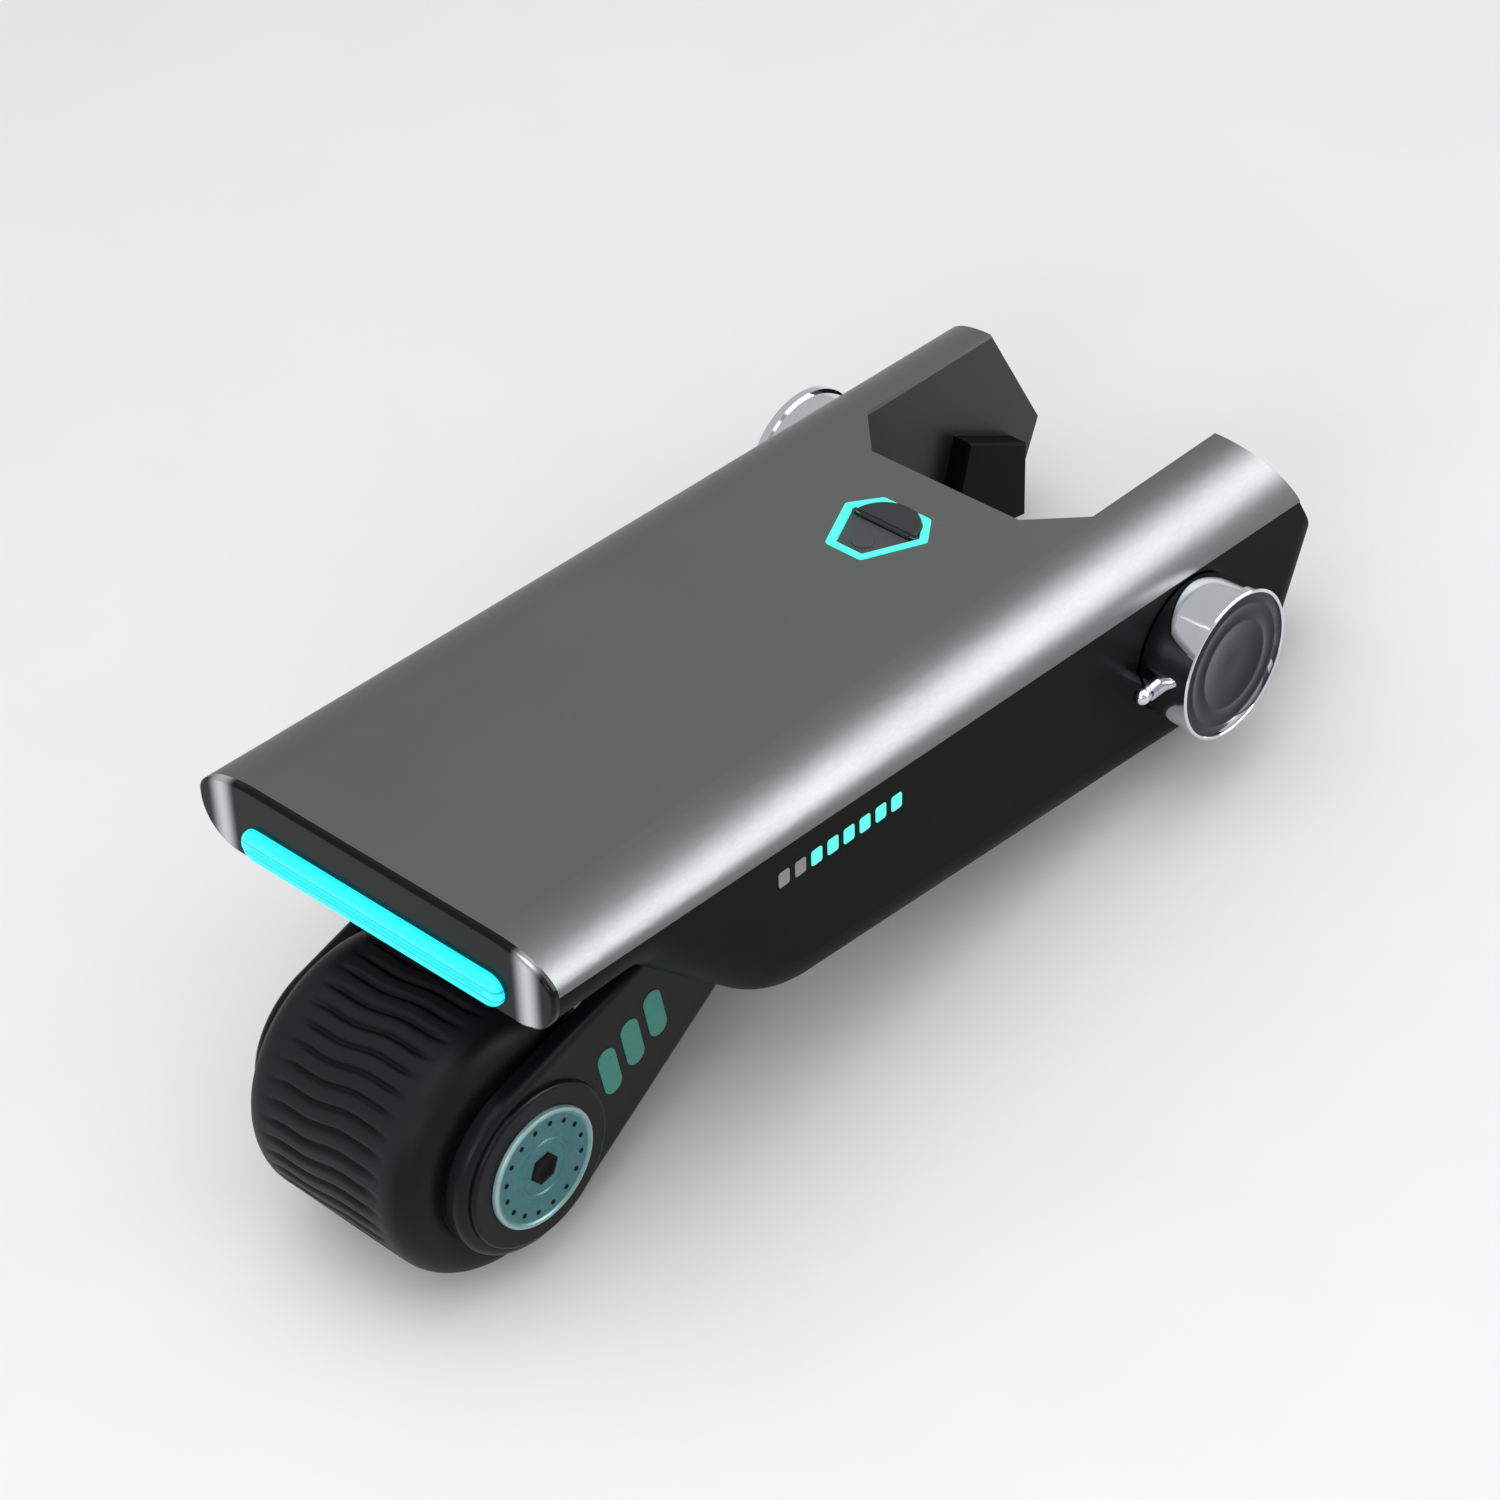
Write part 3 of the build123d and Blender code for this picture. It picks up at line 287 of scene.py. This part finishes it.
def finishes(c):
    """Every finish by its slot in the record."""
    grey = linear("8d8f92")
    return {
        # anodised aluminium, bead blasted: broad soft highlights with a very fine tooth
        "satin_aluminium": material("Anodised aluminium cover", c.cover, shade(c.cover, 0.9), 1.2,
                                    (0.4, 0.48), 0.004, 1.0, (1, 0.25, 1)),
        # glass-filled nylon, spark-textured mould: near black with a low satin sheen
        "black_moulding": material("Moulded nylon body", c.body, shade(c.body, 0.75), 0.9,
                                   (0.42, 0.52), 0.02, Specular_IOR_Level=0.05),
        # same nylon in dark grey: a soft satin that shows its flat faces
        "dark_grey_moulding": material("Moulded nylon liner", c.liner, shade(c.liner, 0.8), 0.9,
                                       (0.3, 0.42), 0.02, Specular_IOR_Level=0.35),
        # polished ABS: deep black that mirrors the room, with a painted reflection near each end: a bright
        # metallic band
        "gloss_black_cap": painted_reflection_ends(
            material("Polished ABS cap", linear("0c0c0e"), linear("080809"), 9, (0.14, 0.2), 0.002,
                     Specular_IOR_Level=0.16), linear("d0d2d4"), 103 * MM, 10 * MM),
        # light guides: even colour with no hot spots
        "cyan_light": glowing("Frosted light bar", c.bar, 1.0, 0.35),
        "aqua_light": glowing("Frosted ring and gauge", c.ring, 0.95, 0.7),
        # frosted polycarbonate with no light behind it: flat pale grey
        "unlit_lens": material("Frosted gauge bar, off", c.unlit, shade(c.unlit, 0.8), 2,
                               (0.4, 0.5), 0.01),
        # glass-epoxy laminate under green resist
        "circuit_board": material("Resist-coated laminate", linear("145c34"), linear("0d4527"), 1.5,
                                  (0.3, 0.4), 0.02),
        # moulded ABS with a spark texture: matt, a shade over the liner
        "panel_grey": material("Moulded panel", linear("4b4d4f"), linear("3f4143"), 0.8,
                               (0.45, 0.55), 0.02, Specular_IOR_Level=0.3),
        # moulded silicone and EPDM: matt and faintly dusty
        "soft_rubber": material("Moulded rubber", linear("2a2a2a"), linear("323436"), 1.4,
                                (0.6, 0.75), 0.03, Specular_IOR_Level=0.25),
        # zinc plate: dull silver with a faint crystal mottle, drawn coarser than real
        "plain_steel": material("Zinc-plated steel", grey, linear("77797b"), 0.6,
                                (0.25, 0.35), 0.01, 1.0),
        # chromium plate: mirror with the faintest haze
        "bright_chrome": material("Chromium plate", linear("e2e4e8"), linear("d2d4d9"), 20,
                                  (0.04, 0.09), 0.001, 1.0),
        # smoked polycarbonate: dark, with a hard bright reflection
        "dark_glass": material("Smoked polycarbonate", c.glass, shade(c.glass, 0.7), 18,
                               (0.06, 0.12), 0.002, Specular_IOR_Level=0.22),
        # powder coat on cast aluminium: semi-gloss with a shallow orange peel
        "arm_black": material("Powder coat", c.arm, shade(c.arm, 0.8), 2.5, (0.3, 0.4), 0.05,
                              Specular_IOR_Level=0.15),
        # dyed anodising: a half-metal teal, paler towards its rim
        "teal_anodised": paler_towards_rim(
            material("Anodised hub cap", c.cap, shade(c.cap, 0.6), 4, (0.32, 0.45), 0.02, 0.4),
            c.cap_rim, 29 * MM, 32 * MM),
        # pad printing: flat ink, slightly uneven
        "teal_ink": material("Pad-printed ink", c.badge, shade(c.badge, 0.7), 2.2, (0.4, 0.55),
                             0.02),
        # stacked laminations under varnish: fine lines along the stack
        "laminated_steel": material("Varnished laminations", linear("6d6e70"), linear("505153"),
                                    0.7, (0.35, 0.45), 0.02, 1.0, (6, 0.2, 0.2)),
        # enamelled wire: warm metal with darker gaps between turns
        "copper_wire": material("Enamelled copper", linear("c4743c"), linear("8a4420"), 0.9,
                                (0.25, 0.35), 0.08, 1.0, (0.3, 1, 1)),
        # nickel plate: bright plain grey
        "magnet_nickel": material("Nickel-plated magnet", linear("a3a4a4"), linear("8d8e8f"), 3,
                                  (0.2, 0.3), 0.005, 1.0),
        # sand-cast skin: pale grey with a coarse pebble
        "cast_alloy": material("Cast aluminium", linear("8b8c8e"), linear("747577"), 1.1,
                               (0.4, 0.5), 0.06, 1.0),
        # shrunk sleeve: plain satin blue
        "cell_sleeve": material("Heat-shrink sleeve", linear("2c6c95"), linear("235a80"), 3,
                                (0.3, 0.4), 0.01),
        # tyre rubber: matt black, with a painted highlight on the crown and painted shade in the sipes and round
        # the shoulders
        "wheel_rubber": paler_towards_rim(
            # the darker base tone and the paler crown tone are painted shade and painted highlight on the rubber
            material("Tyre rubber", shade(c.tyre, 0.5), c.tyre, 1.6, (0.4, 0.55), 0.06,
                     Specular_IOR_Level=0.15), linear("212023"), 71 * MM, 73 * MM),
    }


def paler_towards_rim(made, rim, start, end):
    """Shows a paler tone towards a turned piece's rim."""
    tree = made.node_tree
    place = add(tree, "ShaderNodeTexCoord").outputs["Object"]
    off = add(tree, "ShaderNodeVectorMath", {0: place, 1: AXLE}, operation="SUBTRACT").outputs[0]
    flat = add(tree, "ShaderNodeVectorMath", {0: off, 1: (0, 1, 1)},
               operation="MULTIPLY").outputs[0]
    out = add(tree, "ShaderNodeVectorMath", {0: flat}, operation="LENGTH").outputs["Value"]
    # past start the tone turns paler by distance from the axle; on the tyre this is a painted highlight on the
    # crown
    rim_share = add(tree, "ShaderNodeMapRange", {
        "Value": out, "From Min": start, "From Max": end, "To Max": 0.85}).outputs[0]
    mixed = add(tree, "ShaderNodeMix", {0: rim_share, 6: tree.nodes["Tone"].outputs[2], 7: rim},
                data_type="RGBA")
    tree.links.new(mixed.outputs[2], tree.nodes["Surface"].inputs["Base Color"])
    return made


def painted_reflection_ends(made, metal, centre, reach):
    """Fades a black cap into a painted reflection near each of its two ends: a bright metallic band."""
    tree = made.node_tree
    place = add(tree, "ShaderNodeTexCoord").outputs["Object"]
    across = add(tree, "ShaderNodeSeparateXYZ", {0: place}).outputs["X"]
    out = add(tree, "ShaderNodeMath", {0: across}, operation="ABSOLUTE").outputs[0]
    past = add(tree, "ShaderNodeMath", {0: out, 1: centre}, operation="SUBTRACT").outputs[0]
    off = add(tree, "ShaderNodeMath", {0: past}, operation="ABSOLUTE").outputs[0]
    share = add(tree, "ShaderNodeMapRange", {
        "Value": off, "From Max": reach, "To Min": 1.0, "To Max": 0.0},
        interpolation_type="SMOOTHSTEP")
    # the bright metal tone towards each end is a painted reflection on the black cap
    mixed = add(tree, "ShaderNodeMix", {
        0: share.outputs[0], 6: tree.nodes["Tone"].outputs[2], 7: metal}, data_type="RGBA")
    surface = tree.nodes["Surface"]
    tree.links.new(mixed.outputs[2], surface.inputs["Base Color"])
    tree.links.new(share.outputs[0], surface.inputs["Metallic"])
    return made


def dress(piece, finish):
    """Gives a piece one finish all over."""
    piece.data.materials.clear()
    piece.data.materials.append(finish)


def dress_nodes(wanted):
    """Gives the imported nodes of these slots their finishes."""
    for part in frame["record"]["subparts"]:
        if part["material_slot"] in wanted:
            dress(frame["nodes"][part["node"]], finish_of(part["material_slot"]))


def finish_of(slot):
    """The finish made for a slot."""
    return bpy.data.materials[MADE[slot]]


MADE = {}


# ---------------------------------------------------------------- modelling
def only(piece=None):
    """Selects one piece and nothing else."""
    bpy.ops.object.select_all(action="DESELECT")
    if piece:
        piece.select_set(True)
        bpy.context.view_layer.objects.active = piece


def turned(name, profile, segments, centre, side=1):
    """A piece turned about a line along X: a ring drawn out station by station."""
    only()
    out, radius = profile[0]
    bpy.ops.mesh.primitive_circle_add(
        vertices=segments, radius=radius, rotation=(0, math.pi / 2, 0),
        location=(side * out, centre.y, centre.z))
    piece = bpy.context.object
    piece.name = name
    bpy.ops.object.transform_apply(location=True, rotation=True, scale=True)
    bpy.ops.object.mode_set(mode="EDIT")
    bpy.ops.mesh.select_all(action="SELECT")
    for (x, r), (to_x, to_r) in zip(profile, profile[1:]):
        bpy.ops.mesh.extrude_region_move(
            TRANSFORM_OT_translate={"value": (side * (to_x - x), 0, 0)})
        bpy.ops.transform.resize(value=(1, to_r / r, to_r / r),
                                 center_override=(0, centre.y, centre.z))
    bpy.ops.mesh.select_all(action="SELECT")
    bpy.ops.mesh.remove_doubles(threshold=3 * CLOSE)
    bpy.ops.mesh.normals_make_consistent(inside=False)
    bpy.ops.object.mode_set(mode="OBJECT")
    bpy.ops.object.shade_smooth_by_angle(angle=SMOOTH_UNDER)
    return piece


def settle(piece, body, slot):
    """Hands a finished piece to its body and its slot."""
    dress(piece, finish_of(slot))
    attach(piece, body)
    return piece


class BOARD_OT_finishes(bpy.types.Operator):
    """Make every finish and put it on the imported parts"""

    bl_idname = "board.finishes"
    bl_label = "Finishes"

    def execute(self, context):
        for slot, made in finishes(context.scene.board_colours).items():
            MADE[slot] = made.name
        dress_nodes(set(MADE))
        return {"FINISHED"}


class BOARD_OT_tyre(bpy.types.Operator):
    """Model the tyre with its wavy sipes"""

    bl_idname = "board.tyre"
    bl_label = "Tyre"

    def execute(self, context):
        sizes = context.scene.board_sizes
        low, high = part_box("tyre")
        half = high.x
        radius = (high.z - low.z) / 2
        turns = [math.pi / 2 * i / SHOULDER_STEPS for i in range(SHOULDER_STEPS + 1)]
        arc = [(SHOULDER * math.sin(turn), SHOULDER * math.cos(turn)) for turn in turns]
        flat = half - SHOULDER
        profile = [(-half, BORE)]
        profile += [(-flat - dx, radius - SHOULDER + dr) for dx, dr in reversed(arc)]
        profile += [(-flat + 2 * flat * i / TREAD_STEPS, radius) for i in range(1, TREAD_STEPS)]
        profile += [(flat + dx, radius - SHOULDER + dr) for dx, dr in arc]
        profile += [(half, BORE), (-half, BORE)]
        tyre = turned("tread", profile, sizes.sipe_count * STEPS_PER_SIPE, AXLE)
        self.cut(tyre, sizes, radius)
        settle(tyre, "wheel", "wheel_rubber")
        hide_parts("tyre")
        return {"FINISHED"}

    def cut(self, tyre, sizes, radius):
        """Presses the sipes in with a displace modifier."""
        group = tyre.vertex_groups.new(name="sipes")
        pitch = 2 * math.pi / sizes.sipe_count
        wave = sizes.sipe_wave / radius
        for vertex in tyre.data.vertices:
            across = vertex.co.x
            arm = vertex.co - AXLE
            if abs(across) > sizes.sipe_reach or math.hypot(arm.y, arm.z) < radius - MM:
                continue
            angle = math.atan2(arm.z, arm.y)
            wander = wave * math.sin(across / LONG_SWING)
            wander += SHORT_SHARE * wave * math.sin(across / SHORT_SWING)
            phase = ((angle + wander) / pitch) % 1 - 0.5
            fade = min(1.0, FADE_RATE * (1 - abs(across) / sizes.sipe_reach))
            group.add([vertex.index], fade * math.exp(-(phase / SIPE_SHARE) ** 2), "REPLACE")
        only(tyre)
        press = tyre.modifiers.new("Sipes", "DISPLACE")
        press.vertex_group = group.name
        press.mid_level = 0
        press.strength = -sizes.sipe_depth
        bpy.ops.object.modifier_apply(modifier=press.name)


class BOARD_OT_hub_caps(bpy.types.Operator):
    """Model the hub caps with a rolled rim, a hexagon socket and a ring of dimples"""

    bl_idname = "board.hub_caps"
    bl_label = "Hub caps"

    def execute(self, context):
        sizes = context.scene.board_sizes
        low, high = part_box("hub_caps")
        face = high.x
        radius = (high.z - low.z) / 2
        inner = face - CAP_DEPTH
        for name, side in (("right", 1), ("left", -1)):
            profile = [(inner, CLOSE), (inner, radius)]
            profile += [(face - down * MM, radius - inset * MM) for down, inset in CAP_RIM]
            profile += [(face - down * MM, out * MM) for down, out in CAP_RING]
            cap = turned(name + "_hub_cap", profile, CAP_SIDES, AXLE, side)
            settle(cap, "swing_arm", "teal_anodised")
            if side > 0:
                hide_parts("hub_caps")
            self.dots(name, side, face - CAP_DISH, radius - DOT_INSET, sizes)
            self.socket(name, side, face - CAP_DISH)
        return {"FINISHED"}

    def dots(self, name, side, face, ring, sizes):
        """One dished dimple, copied round the cap and joined."""
        profile = [(face + up * MM, share * sizes.dot_radius) for up, share in DOT_OUTLINE]
        profile += [(face, CLOSE)]
        dots = []
        for index in range(sizes.dot_count):
            angle = 2 * math.pi * index / sizes.dot_count
            centre = AXLE + Vector((0, ring * math.cos(angle), ring * math.sin(angle)))
            dots.append(turned(f"{name}_dot_{index}", profile, DOT_SIDES, centre, side))
        only(dots[0])
        for dot in dots[1:]:
            dot.select_set(True)
        bpy.ops.object.join()
        dots[0].name = name + "_hub_dots"
        settle(dots[0], "swing_arm", "black_moulding")

    def socket(self, name, side, face):
        """A hexagon plug with a sunk middle."""
        profile = [(face + up * MM, out * MM) for up, out in PLUG_OUTLINE]
        plug = turned(name + "_hub_plug", profile, PLUG_SIDES, AXLE, side)
        settle(plug, "swing_arm", "black_moulding")


class BOARD_OT_lamps(bpy.types.Operator):
    """Model the thin bezel and the ridged glass of both side lamps"""

    bl_idname = "board.lamps"
    bl_label = "Lamp fronts"

    def execute(self, context):
        sizes = context.scene.board_sizes
        for name, side in (("right", 1), ("left", -1)):
            bezel_node = name + "_lamp_bezel"
            glass_node = name + "_lamp_glass"
            low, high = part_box(bezel_node)
            centre = (low + high) / 2
            front = max(abs(low.x), abs(high.x))
            back = min(abs(low.x), abs(high.x))
            glass_low, glass_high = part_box(glass_node)
            # the new glass lies on the housing's rim
            seat = max(abs(glass_low.x), abs(glass_high.x)) + SEAT_GAP
            radius = (high.y - low.y) / 2
            wall = radius - BEZEL_WALL
            lip = radius - sizes.bezel_lip
            profile = [(back, wall), (back, radius), (front - BEZEL_SIDE_ROUND, radius),
                       (front, radius - BEZEL_FRONT_ROUND), (front, lip + LIP_FRONT_ROUND),
                       (front - LIP_SIDE_ROUND, lip), (seat, lip), (seat, wall), (back, wall)]
            bezel = turned(name + "_bezel", profile, LAMP_SIDES, centre, side)
            settle(bezel, name + "_lamp", "bright_chrome")
            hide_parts(bezel_node)
            edge = lip - GLASS_GAP
            rim = front - GLASS_SUNK
            profile = [(seat, CLOSE), (seat, edge), (rim, edge)]
            for ring in range(sizes.lens_rings):
                at = edge * (RIDGE_START - RIDGE_STEP * ring)
                top = rim + RIDGE_HEIGHT
                profile += [(rim, at + RIDGE_FOOT), (top, at + RIDGE_TOP),
                            (top, at - RIDGE_TOP), (rim, at - RIDGE_FOOT)]
            profile += [(rim, MIDDLE_RADIUS), (rim + MIDDLE_RISE, CLOSE)]
            glass = turned(name + "_lens", profile, LAMP_SIDES, centre, side)
            settle(glass, name + "_lamp", "dark_glass")
            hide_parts(glass_node)
        return {"FINISHED"}


# ---------------------------------------------------------------- stage
def lamp(name, place, aim, width, height, power):
    """A soft box that faces a point."""
    only()
    bpy.ops.object.light_add(type="AREA", location=place)
    light = bpy.context.object
    light.name = name
    light.data.shape = "RECTANGLE"
    light.data.size = width
    light.data.size_y = height
    light.data.energy = power
    light.rotation_euler = (aim - place).to_track_quat("-Z", "Y").to_euler()
    return light


class BOARD_OT_stage(bpy.types.Operator):
    """Set the floor, the soft boxes and the camera"""

    bl_idname = "board.stage"
    bl_label = "Stage"

    def execute(self, context):
        only()
        bpy.ops.mesh.primitive_plane_add(size=FLOOR_SIZE)
        floor = bpy.context.object
        floor.name = "floor"
        # painted board: plain and pale
        dress(floor, material("Pale painted floor", linear("f4f4f4"), linear("efefef"), 90,
                              (0.8, 0.9), 0.01))
        boxes = {
            name: lamp(name, on_deck(*place), on_deck(*AIM), *size, power)
            for name, (place, size, power) in BOXES.items()}
        # only the metal mirrors it, so the moulded parts stay black
        boxes["right_box"].visible_diffuse = False
        world = bpy.data.worlds.new("Studio")
        world.use_nodes = True
        world.node_tree.nodes["Background"].inputs["Color"].default_value = linear("ffffff")
        world.node_tree.nodes["Background"].inputs["Strength"].default_value = WORLD_STRENGTH
        context.scene.world = world
        # plain sRGB, so that a finish shows the colour it was given
        context.scene.view_settings.view_transform = "Standard"
        self.camera(context)
        return {"FINISHED"}

    def camera(self, context):
        """A long lens from the front right, above the deck."""
        bpy.ops.object.camera_add()
        camera = bpy.context.object
        camera.data.lens = LENS
        camera.data.sensor_width = SENSOR
        axes = Matrix((ACROSS, DECK_BACK, DECK_UP)).transposed()
        back = (axes @ Vector(LENS_BACK)).normalized()
        right = (axes @ Vector(LENS_RIGHT)).normalized()
        up = back.cross(right)
        turn = Matrix((right, up, back)).transposed().to_4x4()
        camera.matrix_world = Matrix.Translation(on_deck(*LENS_PLACE)) @ turn
        camera.data.clip_start = NEAR_CLIP
        context.scene.camera = camera


class BOARD_PT_sidebar(bpy.types.Panel):
    """The board's steps, sizes and colours"""

    bl_idname = "BOARD_PT_sidebar"
    bl_label = "Board"
    bl_space_type = "VIEW_3D"
    bl_region_type = "UI"
    bl_category = "Board"

    def draw(self, context):
        for step in STEPS:
            self.layout.operator(step.bl_idname)
        for group in (context.scene.board_sizes, context.scene.board_colours):
            for name in group.__annotations__:
                self.layout.prop(group, name)


STEPS = (BOARD_OT_finishes, BOARD_OT_tyre, BOARD_OT_hub_caps, BOARD_OT_lamps, BOARD_OT_stage)
CLASSES = (BoardColours, BoardSizes, *STEPS, BOARD_PT_sidebar)


def register():
    for each in CLASSES:
        bpy.utils.register_class(each)
    bpy.types.Scene.board_colours = bpy.props.PointerProperty(type=BoardColours)
    bpy.types.Scene.board_sizes = bpy.props.PointerProperty(type=BoardSizes)


def unregister():
    del bpy.types.Scene.board_sizes
    del bpy.types.Scene.board_colours
    for each in reversed(CLASSES):
        bpy.utils.unregister_class(each)


def main():
    """Builds the whole scene."""
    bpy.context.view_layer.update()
    register()
    bpy.ops.board.finishes()
    bpy.ops.board.tyre()
    bpy.ops.board.hub_caps()
    bpy.ops.board.lamps()
    bpy.ops.board.stage()


if __name__ == "__main__":
    main()
